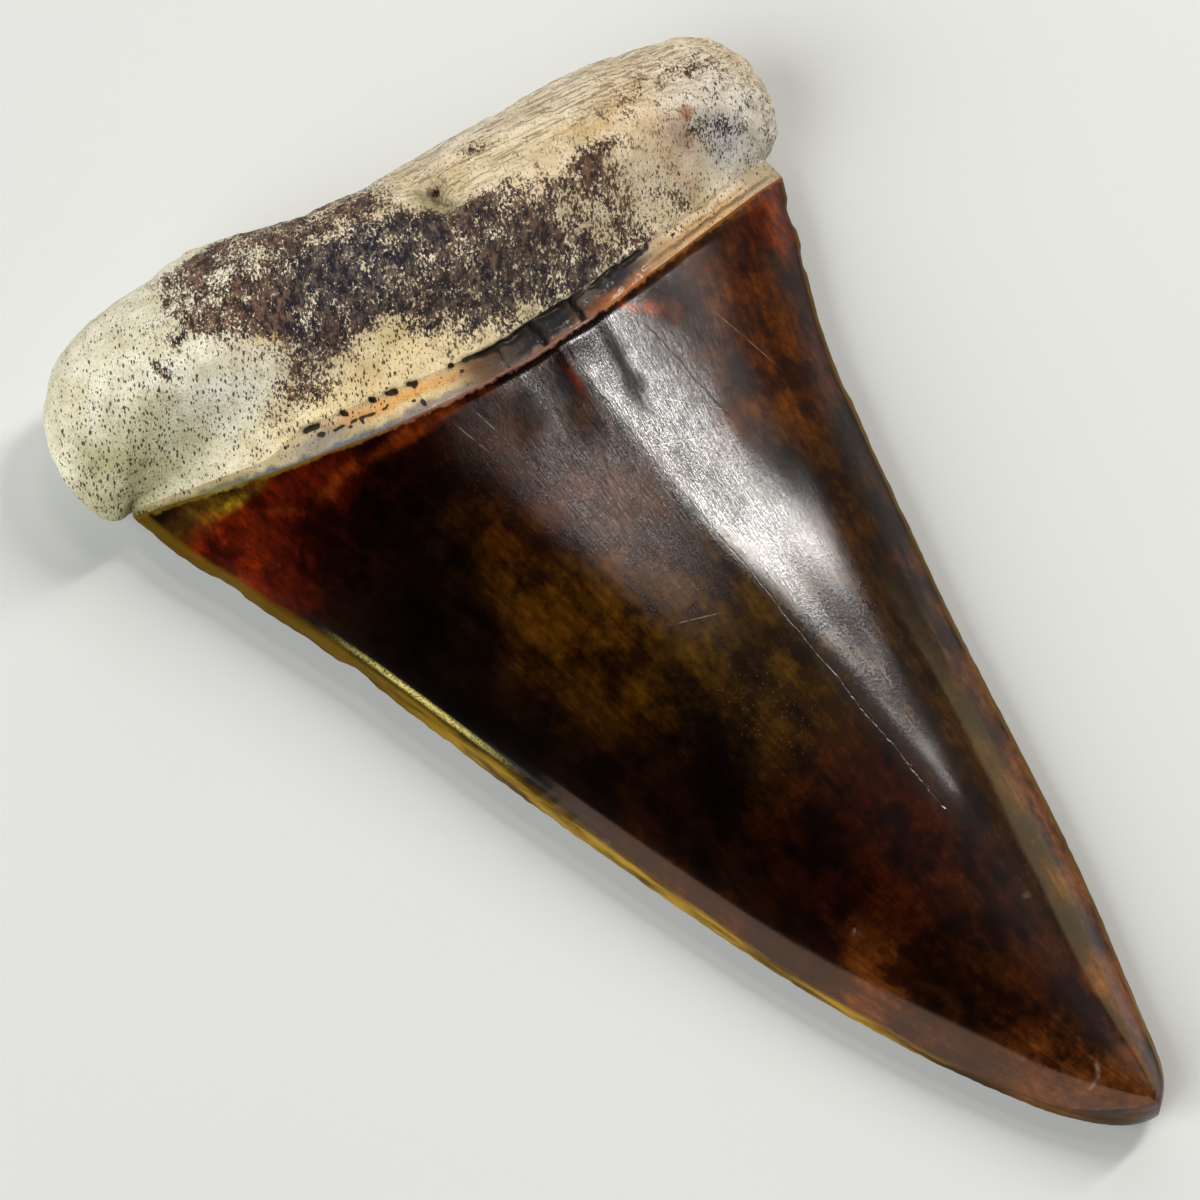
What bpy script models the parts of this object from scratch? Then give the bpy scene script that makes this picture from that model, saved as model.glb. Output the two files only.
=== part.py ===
"""A fossil shark tooth of one piece: a broad pointed crown and a thick two-lobed root.

It lies on its flat labial face with the lingual face up. The tip points to -Y, the root lies
towards +Y, and the origin is under the middle of its box, on the surface that it rests on.
"""

import bmesh
import bpy
import numpy as np

MM = 0.001

# Plan of the tooth seen from above, in millimetres: x across it, y towards the root.
# Each list runs from the crown's corner to the tip.
LEFT_EDGE = [(-21.0, 0.1), (-20.3, -2.0), (-18.2, -6.6), (-15.1, -13.3), (-11.2, -23.0),
             (-5.9, -35.4), (-1.0, -45.3), (3.0, -51.6), (6.7, -55.9), (8.6, -57.0), (9.9, -57.2)]
RIGHT_EDGE = [(21.0, 0.1), (20.0, -3.2), (18.1, -9.0), (16.7, -17.5), (15.5, -26.0), (14.4, -36.5),
              (13.2, -46.0), (11.9, -53.0), (11.0, -56.0), (9.9, -57.2)]
# The root's widest outline, from the left notch under its lobe round to the right notch.
ROOT_OUTLINE = [(-20.8, 0.5), (-21.6, 0.0), (-22.5, 0.4), (-23.3, 2.0), (-23.5, 4.3),
                (-22.8, 6.9), (-20.8, 9.2), (-16.5, 10.3), (-10.2, 10.8), (-5.0, 9.1),
                (0.5, 8.9), (6.2, 9.4), (12.0, 10.2), (16.4, 9.5), (19.8, 8.8),
                (21.9, 6.9), (22.4, 4.3), (21.9, 2.3), (20.4, 1.2)]

# Heights above the resting surface, in millimetres, as (place, height). On the crown the place
# runs from 0 at the neck to 1 at the tip, and on the root from 0 at the left notch to 1 at the right.
EDGE_HEIGHT = [(0.0, 2.4), (0.3, 2.0), (0.6, 1.7), (0.85, 1.6), (1.0, 1.7)]
CROWN_RISE = [(0.0, 6.9), (0.2, 6.1), (0.45, 4.9), (0.7, 3.6), (0.88, 2.5), (1.0, 1.9)]
CROWN_BELLY = [(0.0, 1.75), (0.3, 1.75), (0.6, 1.75), (0.85, 1.68), (1.0, 1.3)]
TIP_ROUNDING = 0.03
NOTCH_HEIGHT = 3.4
ROOT_RIM = [(0.0, NOTCH_HEIGHT), (0.12, 5.0), (0.3, 5.8), (0.5, 7.2), (0.7, 6.0), (0.88, 5.2),
            (1.0, NOTCH_HEIGHT)]
ROOT_TOP = [(0.0, NOTCH_HEIGHT), (0.08, 6.6), (0.2, 10.0), (0.35, 12.0), (0.5, 13.0), (0.65, 12.4),
            (0.8, 10.6), (0.92, 7.0), (1.0, NOTCH_HEIGHT)]
ROOT_BASE = [(0.0, NOTCH_HEIGHT), (0.06, 1.4), (0.2, -0.1), (0.35, 0.3), (0.5, 1.6), (0.65, 0.3),
             (0.8, -0.1), (0.94, 1.4), (1.0, NOTCH_HEIGHT)]

# A section across the crown is as high as (1 - |s| ** power) ** swell: domed above, flatter beneath.
DOME = {"power": 2.2, "swell": 0.9}
FLAT = {"power": 4.0, "swell": 0.8}

# The neck: the enamel ends and the root begins each along a line that bows towards the tip, by a sag
# in millimetres and, left and right of its middle, a power. The bare band lies between the two.
ENAMEL_LINE = {"sag": 5.6, "left": 2.2, "right": 1.6}
ROOT_LINE = {"sag": 4.3, "left": 1.5, "right": 1.8}
UNDER_ENAMEL_LINE = {"sag": 3.4, "left": 2.0, "right": 2.0}
UNDER_ROOT_LINE = {"sag": 2.4, "left": 2.0, "right": 2.0}
SAG_FADING = 1.5
BAND_DEPTH = 0.35

# The root swells to its full height over this share of the way from the neck to its outline, then
# rounds off to the outline with a power, which is softer on the right lobe.
BOSS_SHARE = 0.42
LEFT_ROUNDING = 3.6
RIGHT_ROUNDING = 2.3
UNDER_ROUNDING = 4.0

# Low folds of the enamel run down from the neck, each at a place across the crown.
FOLD_PLACES = (0.07, 0.18, 0.36)
FOLD_HEIGHT = 0.25
FOLD_HALF_WIDTH = 0.045
FOLD_REACH = 0.2

# The nutrient pit in the middle of the root's boss, in millimetres.
PIT_PLACE = (1.4, 4.8)
PIT_RADII = (1.2, 1.7)
PIT_DEPTH = 1.0

# How many faces the surface has each way, and how far the crown's rows crowd towards its tip.
COLUMNS = 50
CROWN_ROWS = 29
BAND_ROWS = 3
ROOT_ROWS = 13
TIP_CROWDING = 1.25
MERGE = 1e-6


def cubic(knots, values, t):
    """Natural cubic interpolation over the knots, with one row of values to a knot."""
    count = len(knots)
    gaps = np.diff(knots)
    slopes = np.diff(values, axis=0) / gaps[:, None]
    matrix = np.eye(count)
    right = np.zeros_like(values)
    for i in range(1, count - 1):
        matrix[i, i - 1:i + 2] = gaps[i - 1], 2 * (gaps[i - 1] + gaps[i]), gaps[i]
        right[i] = 6 * (slopes[i] - slopes[i - 1])
    bend = np.linalg.solve(matrix, right)
    i = np.clip(np.searchsorted(knots, t, side="right") - 1, 0, count - 2)
    gap = gaps[i][..., None]
    after = (t - knots[i])[..., None]
    before = gap - after
    start = values[i] / gap - bend[i] * gap / 6
    end = values[i + 1] / gap - bend[i + 1] * gap / 6
    return (bend[i] * before ** 3 + bend[i + 1] * after ** 3) / (6 * gap) + start * before + end * after


def along(points, t):
    """The smooth line through plan points, read at t, which runs from 0 to 1 by length."""
    points = np.array(points)
    steps = np.linalg.norm(np.diff(points, axis=0), axis=1)
    return cubic(np.concatenate([[0], np.cumsum(steps)]) / steps.sum(), points, t)


def height(stations, t):
    """The smooth profile through (place, height) stations, read at t."""
    places, heights = np.array(stations).T
    return cubic(places, heights[:, None], t)[..., 0]


def smooth(x):
    """0 below 0, 1 above 1, and an even S between."""
    x = np.clip(x, 0, 1)
    return x * x * (3 - 2 * x)


def section(form, s):
    """Height of a section across the tooth: 1 in the middle and 0 at both edges."""
    return (1 - np.abs(s) ** form["power"]) ** form["swell"]


def bow(line, s):
    """How far a neck line lies towards the tip from the straight between its ends."""
    return line["sag"] * (1 - np.abs(s) ** np.where(s < 0, line["left"], line["right"]))


def folds(s, v):
    ridges = sum(np.exp(-((s - place) / FOLD_HALF_WIDTH) ** 2) for place in FOLD_PLACES)
    return FOLD_HEIGHT * ridges * (1 - smooth(v / FOLD_REACH))


def pit(plan):
    away = (plan - np.array(PIT_PLACE)) / np.array(PIT_RADII)
    return PIT_DEPTH * np.exp(-(away ** 2).sum(axis=-1))


def crown_face(s, v, top):
    """Points of one face of the crown: s from -1 to 1 across it, v from 0 at the neck to 1 at the tip."""
    left, right = along(LEFT_EDGE, v), along(RIGHT_EDGE, v)
    plan = left + (right - left) * (s[..., None] + 1) / 2
    plan[..., 1] -= bow(ENAMEL_LINE if top else UNDER_ENAMEL_LINE, s) * (1 - v) ** SAG_FADING
    closing = np.sqrt(1 - np.clip((v - 1 + TIP_ROUNDING) / TIP_ROUNDING, 0, 1) ** 2)
    z = height(EDGE_HEIGHT, v)
    if top:
        z = z + height(CROWN_RISE, v) * section(DOME, s) * closing + folds(s, v)
    else:
        z = z - height(CROWN_BELLY, v) * section(FLAT, s) * closing
    return np.dstack([plan, z])


def root_start(s, top):
    """Points along the root's own margin, where the band round the neck ends."""
    left, right = np.array(ROOT_OUTLINE[0]), np.array(ROOT_OUTLINE[-1])
    plan = left + (right - left) * (s[..., None] + 1) / 2
    plan[..., 1] -= bow(ROOT_LINE if top else UNDER_ROOT_LINE, s)
    if top:
        rise = height(EDGE_HEIGHT, 0.0) + height(CROWN_RISE, 0.0) - NOTCH_HEIGHT
        z = NOTCH_HEIGHT + rise * section(DOME, s)
    else:
        drop = NOTCH_HEIGHT - height(EDGE_HEIGHT, 0.0) + height(CROWN_BELLY, 0.0)
        z = NOTCH_HEIGHT - drop * section(FLAT, s)
    return np.dstack([plan, z])


def band_face(s, b, top):
    """Points of the band round the neck, b from 0 at the enamel to 1 at the root."""
    low = crown_face(s, np.zeros_like(b), top)
    face = low + (root_start(s, top) - low) * b[..., None]
    if top:
        face[..., 2] -= BAND_DEPTH * np.sin(np.pi * b) * section(DOME, s) + folds(s, 0) * b
    return face


def root_face(a, s, r, top):
    """Points of one face of the root: column a from 0 to 1, r from 0 at the neck to 1 at the outline."""
    neck = root_start(s, top)
    plan = neck[..., :2] + (along(ROOT_OUTLINE, a) - neck[..., :2]) * r[..., None]
    rim = height(ROOT_RIM, a)
    target = height(ROOT_TOP if top else ROOT_BASE, a)
    level = neck[..., 2] + (target - neck[..., 2]) * smooth(r / BOSS_SHARE)
    power = LEFT_ROUNDING + (RIGHT_ROUNDING - LEFT_ROUNDING) * smooth(a) if top else UNDER_ROUNDING
    z = rim + (level - rim) * np.sqrt(1 - r ** power)
    if top:
        z = z - pit(plan)
    return np.dstack([plan, z])


def tooth_rows():
    """The whole surface as rows of points: from the tip up the lingual face, over and back beneath."""
    a = np.linspace(0, 1, COLUMNS + 1)
    s = (2 * a - 1 - np.cos(np.pi * a)) / 2
    crown = 1 - np.linspace(0, 1, CROWN_ROWS + 1) ** TIP_CROWDING
    band = np.linspace(0, 1, BAND_ROWS + 1)[1:]
    root = np.sin(np.linspace(0, np.pi / 2, ROOT_ROWS + 1))[1:]
    faces = []
    for top in (True, False):
        v, t = np.meshgrid(crown[::-1], s, indexing="ij")
        b, tb = np.meshgrid(band, s, indexing="ij")
        r, tr = np.meshgrid(root, s, indexing="ij")
        ar = np.broadcast_to(a, r.shape)
        faces.append(np.concatenate([
            crown_face(t, v, top)[::-1], band_face(tb, b, top), root_face(ar, tr, r, top)]))
    upper, lower = faces
    lower[..., 2] = np.maximum(lower[..., 2], 0)
    return np.concatenate([upper, lower[-2::-1]])


def closed_mesh(name, rows):
    """A mesh over the rows, with the edges and points where the rows meet merged."""
    high, wide = rows.shape[:2]
    corner = np.arange(high * wide).reshape(high, wide)
    quads = np.dstack([corner[:-1, :-1], corner[:-1, 1:], corner[1:, 1:], corner[1:, :-1]])
    mesh = bpy.data.meshes.new(name)
    mesh.from_pydata(rows.reshape(-1, 3) * MM, [], quads.reshape(-1, 4).tolist())
    work = bmesh.new()
    work.from_mesh(mesh)
    bmesh.ops.remove_doubles(work, verts=work.verts, dist=MERGE)
    bmesh.ops.triangulate(work, faces=work.faces)
    bmesh.ops.recalc_face_normals(work, faces=work.faces)
    work.to_mesh(mesh)
    work.free()
    mesh.shade_smooth()
    return mesh


def tooth_material():
    material = bpy.data.materials.new("tooth")
    material.use_nodes = True
    shader = material.node_tree.nodes["Principled BSDF"]
    shader.inputs["Base Color"].default_value = (0.16, 0.07, 0.02, 1)
    shader.inputs["Roughness"].default_value = 0.25
    return material


def main():
    for old in list(bpy.data.objects):
        bpy.data.objects.remove(old)
    rows = tooth_rows()
    middle = (rows.min(axis=(0, 1)) + rows.max(axis=(0, 1))) / 2
    rows[..., :2] -= middle[:2]
    tooth = bpy.data.objects.new("tooth", closed_mesh("tooth", rows))
    tooth.data.materials.append(tooth_material())
    bpy.context.scene.collection.objects.link(tooth)


main()
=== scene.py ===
"""The looks of a fossil shark tooth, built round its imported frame.

The tooth is drawn again here with the frame's own form and finer detail, as two closed pieces: the
enamel crown, and the root with the bare band round its neck. Lengths are in millimetres in the
drawing, and x, y and z run as in the frame: the tip points to -Y and the lingual face is up.
"""

import itertools

import bmesh
import bpy
import numpy as np
from mathutils import Matrix, Vector


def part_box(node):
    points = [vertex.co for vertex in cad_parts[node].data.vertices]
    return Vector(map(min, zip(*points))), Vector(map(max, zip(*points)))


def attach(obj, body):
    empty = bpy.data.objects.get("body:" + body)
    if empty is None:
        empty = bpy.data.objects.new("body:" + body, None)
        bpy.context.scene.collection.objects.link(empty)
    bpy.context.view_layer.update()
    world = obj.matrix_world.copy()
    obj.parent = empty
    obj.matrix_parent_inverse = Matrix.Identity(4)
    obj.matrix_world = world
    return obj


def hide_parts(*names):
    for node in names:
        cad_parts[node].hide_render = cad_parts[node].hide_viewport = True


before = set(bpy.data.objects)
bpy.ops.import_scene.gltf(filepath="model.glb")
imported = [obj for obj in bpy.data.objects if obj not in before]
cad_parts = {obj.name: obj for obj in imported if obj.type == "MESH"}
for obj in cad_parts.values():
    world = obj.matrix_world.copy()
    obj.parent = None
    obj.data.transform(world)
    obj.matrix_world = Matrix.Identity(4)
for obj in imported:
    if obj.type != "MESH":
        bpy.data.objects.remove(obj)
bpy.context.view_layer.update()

SEED = 11
MM = 0.001

# The tooth's form, as its solid has it.
LEFT_EDGE = [
    (-21.0, 0.1), (-20.3, -2.0), (-18.2, -6.6), (-15.1, -13.3), (-11.2, -23.0), (-5.9, -35.4), (-1.0, -45.3),
    (3.0, -51.6), (6.7, -55.9), (8.6, -57.0), (9.9, -57.2),
]
RIGHT_EDGE = [
    (21.0, 0.1), (20.0, -3.2), (18.1, -9.0), (16.7, -17.5), (15.5, -26.0), (14.4, -36.5), (13.2, -46.0),
    (11.9, -53.0), (11.0, -56.0), (9.9, -57.2),
]
ROOT_OUTLINE = [
    (-20.8, 0.5), (-21.6, 0.0), (-22.5, 0.4), (-23.3, 2.0), (-23.5, 4.3), (-22.8, 6.9), (-20.8, 9.2),
    (-16.5, 10.3), (-10.2, 10.8), (-5.0, 9.1), (0.5, 8.9), (6.2, 9.4), (12.0, 10.2), (16.4, 9.5), (19.8, 8.8),
    (21.9, 6.9), (22.4, 4.3), (21.9, 2.3), (20.4, 1.2),
]
EDGE_HEIGHT = [(0.0, 2.4), (0.3, 2.0), (0.6, 1.7), (0.85, 1.6), (1.0, 1.7)]
CROWN_RISE = [(0.0, 6.9), (0.2, 6.1), (0.45, 4.9), (0.7, 3.6), (0.88, 2.5), (1.0, 1.9)]
CROWN_BELLY = [(0.0, 1.75), (0.3, 1.75), (0.6, 1.75), (0.85, 1.68), (1.0, 1.3)]
TIP_ROUNDING = 0.03
NOTCH_HEIGHT = 3.4
ROOT_RIM = [
    (0.0, NOTCH_HEIGHT), (0.12, 5.0), (0.3, 5.8), (0.5, 7.2), (0.7, 6.0), (0.88, 5.2), (1.0, NOTCH_HEIGHT),
]
ROOT_TOP = [
    (0.0, NOTCH_HEIGHT), (0.08, 6.6), (0.2, 10.0), (0.35, 12.0), (0.5, 13.0), (0.65, 12.4), (0.8, 10.6),
    (0.92, 7.0), (1.0, NOTCH_HEIGHT),
]
ROOT_BASE = [
    (0.0, NOTCH_HEIGHT), (0.06, 1.4), (0.2, -0.1), (0.35, 0.3), (0.5, 1.6), (0.65, 0.3), (0.8, -0.1),
    (0.94, 1.4), (1.0, NOTCH_HEIGHT),
]
DOME = {"power": 2.2, "swell": 0.9}
FLAT = {"power": 4.0, "swell": 0.8}
ENAMEL_LINE = {"sag": 5.6, "left": 2.2, "right": 1.6}
ROOT_LINE = {"sag": 4.3, "left": 1.5, "right": 1.8}
UNDER_ENAMEL_LINE = {"sag": 3.4, "left": 2.0, "right": 2.0}
UNDER_ROOT_LINE = {"sag": 2.4, "left": 2.0, "right": 2.0}
SAG_FADING = 1.5
# The crown's length along its middle, near enough.
CROWN_LENGTH = 58.0
BAND_DEPTH = 0.35
BOSS_SHARE = 0.42
LEFT_ROUNDING = 3.6
RIGHT_ROUNDING = 2.3
UNDER_ROUNDING = 4.0
PIT_PLACE = (1.4, 4.8)
PIT_RADII = (1.2, 1.7)
PIT_DEPTH = 1.0

# How fine the pieces are: faces across and along each face of the tooth.
CROWN_COLUMNS = 150
UNDER_COLUMNS = 40
CROWN_ROWS = 500
TIP_CROWDING = 1.25
ROOT_COLUMNS = 380
BAND_ROWS = 18
ROOT_ROWS = 120
BASE_ROWS = 60
# Points that lie nearer together than this become one.
WELD = 1e-4

# Folds of the enamel run down from the neck: place across the crown, height, and the half widths of
# their left and right flanks as shares of the crown's half width.
FOLDS = [
    (-0.01, 0.16, 0.1, 0.05), (0.158, 0.17, 0.03, 0.07), (0.3, 0.15, 0.03, 0.06), (0.43, 0.07, 0.05, 0.05),
]
FOLD_REACH = 0.19
# A soft crest runs down the crown, with a hairline crack along it: (v, s) at its two ends.
CREST = ((0.05, 0.165), (0.62, 0.345))
CREST_HEIGHT = 0.16
CREST_HALF_WIDTH = 1.6
SIDE_CRACK = ((0.05, 0.4), (0.17, 0.5))
# The crown swells very slightly along its length.
SWELL_HEIGHT = 0.35
SWELL_PLACE = -19.0
SWELL_REACH = 13.0
# The enamel's own edge at the neck stands up a little from the band.
LIP_HEIGHT = 0.13
LIP_REACH = 0.35
# The thin blade along each cutting edge, set off by a shallow groove, which is fainter on the right.
BLADE_WIDTH = 0.85
BLADE_GROOVE = 0.09
BLADE_GROOVE_RIGHT = 0.4
BLADE_GROOVE_WIDTH = 0.4
# Nibbled cutting edges: size of the nibbles and how deep they are. Those deeper than WORN_NIBBLE are worn
# down along the crown, and a nibble reaches only a little way into the face. The two edges read the noise
# on planes of their own, so that they differ.
NIBBLES = [(2.6, 0.06), (1.0, 0.055), (0.45, 0.035)]
WORN_NIBBLE = 0.04
SHIFT_REACH = 0.3
EDGE_NOISE_PLANE = 40.0
# Chips out of the cutting edges: side, y, depth and half length.
CHIPS = [
    (-1, -14.2, 0.22, 0.9), (-1, -6.2, 0.18, 0.8), (1, -2.2, 0.2, 0.7), (1, -4.9, 0.16, 0.6),
    (-1, -20.5, 0.06, 0.5),
]
# How near the relief comes to the cutting edges before it fades: the higher the power, the nearer.
INSIDE_POWER = 8
SEAM_POWER = 40


def cubic(knots, values, t):
    """Natural cubic interpolation over the knots, with one row of values to a knot."""
    count = len(knots)
    gaps = np.diff(knots)
    slopes = np.diff(values, axis=0) / gaps[:, None]
    matrix = np.eye(count)
    right = np.zeros_like(values)
    for i in range(1, count - 1):
        matrix[i, i - 1:i + 2] = gaps[i - 1], 2 * (gaps[i - 1] + gaps[i]), gaps[i]
        right[i] = 6 * (slopes[i] - slopes[i - 1])
    bend = np.linalg.solve(matrix, right)
    i = np.clip(np.searchsorted(knots, t, side="right") - 1, 0, count - 2)
    gap = gaps[i][..., None]
    after = (t - knots[i])[..., None]
    before = gap - after
    start = values[i] / gap - bend[i] * gap / 6
    end = values[i + 1] / gap - bend[i + 1] * gap / 6
    return (bend[i] * before ** 3 + bend[i + 1] * after ** 3) / (6 * gap) + start * before + end * after


def along(points, t):
    """The smooth line through plan points, read at t, which runs from 0 to 1 by length."""
    points = np.array(points)
    steps = np.linalg.norm(np.diff(points, axis=0), axis=1)
    return cubic(np.concatenate([[0], np.cumsum(steps)]) / steps.sum(), points, t)


def height(stations, t):
    """The smooth profile through (place, height) stations, read at t."""
    places, heights = np.array(stations).T
    return cubic(places, heights[:, None], t)[..., 0]


def smooth(x):
    """0 below 0, 1 above 1, and an even S between."""
    x = np.clip(x, 0, 1)
    return x * x * (3 - 2 * x)


def between(x, low, high, fade):
    """1 between the two places, fading to 0 at each."""
    return smooth((x - low) / fade) * smooth((high - x) / fade)


def section(form, s):
    return (1 - np.abs(s) ** form["power"]) ** form["swell"]


def bow(line, s):
    return line["sag"] * (1 - np.abs(s) ** np.where(s < 0, line["left"], line["right"]))


def bell(x, half_width):
    return np.exp(-(x / half_width) ** 2)


def crowded(a):
    """Places from -1 to 1 for a from 0 to 1, packed more closely towards both ends."""
    return (2 * a - 1 - np.cos(np.pi * a)) / 2


# The noise reads a table of random numbers by a hash of the cell.
TABLE_SIZE = 4096
TABLE = np.random.default_rng(SEED).uniform(-1, 1, TABLE_SIZE)
HASH = (73856093, 19349663, 83492791)
SEED_STEP = 17.31


def noise(points, size, seed=0):
    """Smooth noise from -1 to 1, with lumps of that size: one number, or one for each axis."""
    place = points / np.array(size, float) + seed * SEED_STEP
    cell = np.floor(place).astype(np.int64)
    f = place - cell
    f = f * f * f * (f * (6 * f - 15) + 10)
    total = 0
    for corner in itertools.product((0, 1), repeat=3):
        at = cell + corner
        key = (at[..., 0] * HASH[0]) ^ (at[..., 1] * HASH[1]) ^ (at[..., 2] * HASH[2])
        weight = np.prod(np.where(corner, f, 1 - f), axis=-1)
        total = total + weight * TABLE[key & (TABLE_SIZE - 1)]
    return total


def along_x(points, size, seed):
    """Noise that runs along x and hardly changes with y and z."""
    return noise(points, (size, 50.0, 50.0), seed)


def fractal(points, size, octaves, seed=0):
    """Noise with finer noise laid over it, each layer half the size and height of the one before."""
    layers = [noise(points, np.array(size, float) / 2 ** k, seed + k) / 2 ** k for k in range(octaves)]
    return sum(layers) / sum(0.5 ** k for k in range(octaves))


def spot(plan, centre, radii, core=0.5):
    """1 over the core of an oval spot on the plan, fading to 0 outside it."""
    away = np.linalg.norm((plan - np.array(centre)) / np.array(radii), axis=-1)
    return 1 - smooth((away - core) / (2 - 2 * core))


def patches(plan, spots, ground=0.0):
    """The strongest of the soft spots at each place, or the ground where it is stronger."""
    level = np.full(plan.shape[:-1], ground)
    for x, y, wide, tall, strength in spots:
        level = np.maximum(level, spot(plan, (x, y), (wide, tall), 0.4) * strength)
    return level


def painted(plan, ground, spots):
    """The ground colour with soft coloured spots laid over it in turn."""
    colour = np.broadcast_to(np.array(ground), plan.shape[:-1] + (3,)).copy()
    for x, y, wide, tall, *tint, strength in spots:
        share = (spot(plan, (x, y), (wide, tall), 0.3) * strength)[..., None]
        colour += (np.array(tint) - colour) * share
    return colour


# ---- the crown ----

def crown_face(s, v, top):
    """Points of one plain face of the crown: s from -1 to 1 across, v from 0 at the neck to 1 at the tip."""
    left, right = along(LEFT_EDGE, v), along(RIGHT_EDGE, v)
    plan = left + (right - left) * (s[..., None] + 1) / 2
    plan[..., 1] -= bow(ENAMEL_LINE if top else UNDER_ENAMEL_LINE, s) * (1 - v) ** SAG_FADING
    closing = np.sqrt(1 - np.clip((v - 1 + TIP_ROUNDING) / TIP_ROUNDING, 0, 1) ** 2)
    z = height(EDGE_HEIGHT, v)
    if top:
        z = z + height(CROWN_RISE, v) * section(DOME, s) * closing
    else:
        z = z - height(CROWN_BELLY, v) * section(FLAT, s) * closing
    return np.dstack([plan, z])


def half_width(v):
    return np.linalg.norm(along(RIGHT_EDGE, v) - along(LEFT_EDGE, v), axis=-1) / 2


def edge_distance(s, v):
    """Distance in millimetres across the crown from the nearer cutting edge."""
    return (1 - np.abs(s)) * half_width(v)


def line_offset(line, s, v):
    """Distance in millimetres across the crown from a straight line given by its ends (v, s)."""
    (v0, s0), (v1, s1) = line
    return (s - (s0 + (s1 - s0) * (v - v0) / (v1 - v0))) * half_width(v)


def line_share(line, v, fade=0.05):
    (v0, _), (v1, _) = line
    return smooth((v - v0 + fade) / fade) * smooth((v1 + fade - v) / fade)


def crown_relief(s, v, points, top):
    """How far the crown's surface stands out from its plain form."""
    inside = 1 - np.abs(s) ** INSIDE_POWER
    edge = edge_distance(s, v)
    groove = BLADE_GROOVE * np.where(s < 0, 1, BLADE_GROOVE_RIGHT) * bell(edge - BLADE_WIDTH, BLADE_GROOVE_WIDTH)
    groove = groove * (0.8 + 0.25 * noise(points, 5.0, 3))
    waves = 0.03 * fractal(points, (3.0, 12.0, 5.0), 2, 5) * smooth(edge / 5)
    lip = LIP_HEIGHT * bell(v * CROWN_LENGTH, LIP_REACH) * (1 + 0.5 * noise(points, 1.3, 8)) * inside
    tip = smooth((1 - v) / 0.08)
    relief = waves - groove * tip + lip
    if not top:
        wrinkles = 0.1 * noise(points, (0.9, 7.0, 3.0), 21) * (1 - smooth(v / 0.16)) * inside
        return relief + wrinkles
    ridges = 0
    for place, high, left, right in FOLDS:
        away = s - place
        ridges = ridges + high * bell(away, np.where(away < 0, left, right))
    ridges = ridges * (1 - smooth(v / FOLD_REACH)) ** 1.3
    crest = CREST_HEIGHT * bell(line_offset(CREST, s, v), CREST_HALF_WIDTH) * line_share(CREST, v, 0.12)
    swell = SWELL_HEIGHT * bell(points[..., 1] - SWELL_PLACE, SWELL_REACH) * inside
    return relief + ridges + crest + swell


def edge_shift(side, v):
    """How far a cutting edge lies outside its plain line."""
    line = along(LEFT_EDGE if side < 0 else RIGHT_EDGE, v)
    run = np.dstack([line, np.full(v.shape, EDGE_NOISE_PLANE * side)])
    wear = 1 - 0.75 * smooth((v - 0.15) / 0.4)
    shift = 0
    for size, deep in NIBBLES:
        shift = shift + deep * noise(run, size, side + 30) * (wear if deep > WORN_NIBBLE else 1)
    for at, y, deep, reach in CHIPS:
        if at == side:
            shift = shift - deep * smooth(1.5 - np.abs(line[..., 1] - y) / reach)
    return shift * smooth(v / 0.01) * smooth((1 - v) / 0.1)


def crown_grid(columns, top):
    s = crowded(np.linspace(0, 1, columns + 1))
    v = 1 - np.linspace(0, 1, CROWN_ROWS + 1)[::-1] ** TIP_CROWDING
    v, s = np.meshgrid(v, s, indexing="ij")
    points = crown_face(s, v, top)
    relief = crown_relief(s, v, points, top)
    shift = np.where(s < 0, -edge_shift(-1, v), edge_shift(1, v))
    points[..., 0] += shift * np.exp(-edge_distance(s, v) / SHIFT_REACH)
    points[..., 2] += relief * (1 if top else -1) * (1 - np.abs(s) ** SEAM_POWER)
    if not top:
        points[..., 2] = np.maximum(points[..., 2], 0.0)
    return s, v, points


# ---- the root ----

def root_start(s, top):
    left, right = np.array(ROOT_OUTLINE[0]), np.array(ROOT_OUTLINE[-1])
    plan = left + (right - left) * (s[..., None] + 1) / 2
    plan[..., 1] -= bow(ROOT_LINE if top else UNDER_ROOT_LINE, s)
    if top:
        rise = height(EDGE_HEIGHT, 0.0) + height(CROWN_RISE, 0.0) - NOTCH_HEIGHT
        z = NOTCH_HEIGHT + rise * section(DOME, s)
    else:
        drop = NOTCH_HEIGHT - height(EDGE_HEIGHT, 0.0) + height(CROWN_BELLY, 0.0)
        z = NOTCH_HEIGHT - drop * section(FLAT, s)
    return np.dstack([plan, z])


def band_face(s, b, top):
    start = crown_face(s, np.zeros_like(b), top)
    face = start + (root_start(s, top) - start) * b[..., None]
    if top:
        face[..., 2] -= BAND_DEPTH * np.sin(np.pi * b) * section(DOME, s)
    return face


def root_face(a, s, r, top):
    neck = root_start(s, top)
    plan = neck[..., :2] + (along(ROOT_OUTLINE, a) - neck[..., :2]) * r[..., None]
    rim = height(ROOT_RIM, a)
    target = height(ROOT_TOP if top else ROOT_BASE, a)
    level = neck[..., 2] + (target - neck[..., 2]) * smooth(r / BOSS_SHARE)
    power = LEFT_ROUNDING + (RIGHT_ROUNDING - LEFT_ROUNDING) * smooth(a) if top else UNDER_ROUNDING
    z = rim + (level - rim) * np.sqrt(1 - r ** power)
    if top:
        away = (plan - np.array(PIT_PLACE)) / np.array(PIT_RADII)
        z = z - PIT_DEPTH * np.exp(-(away ** 2).sum(axis=-1))
    return np.dstack([plan, z])


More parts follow.
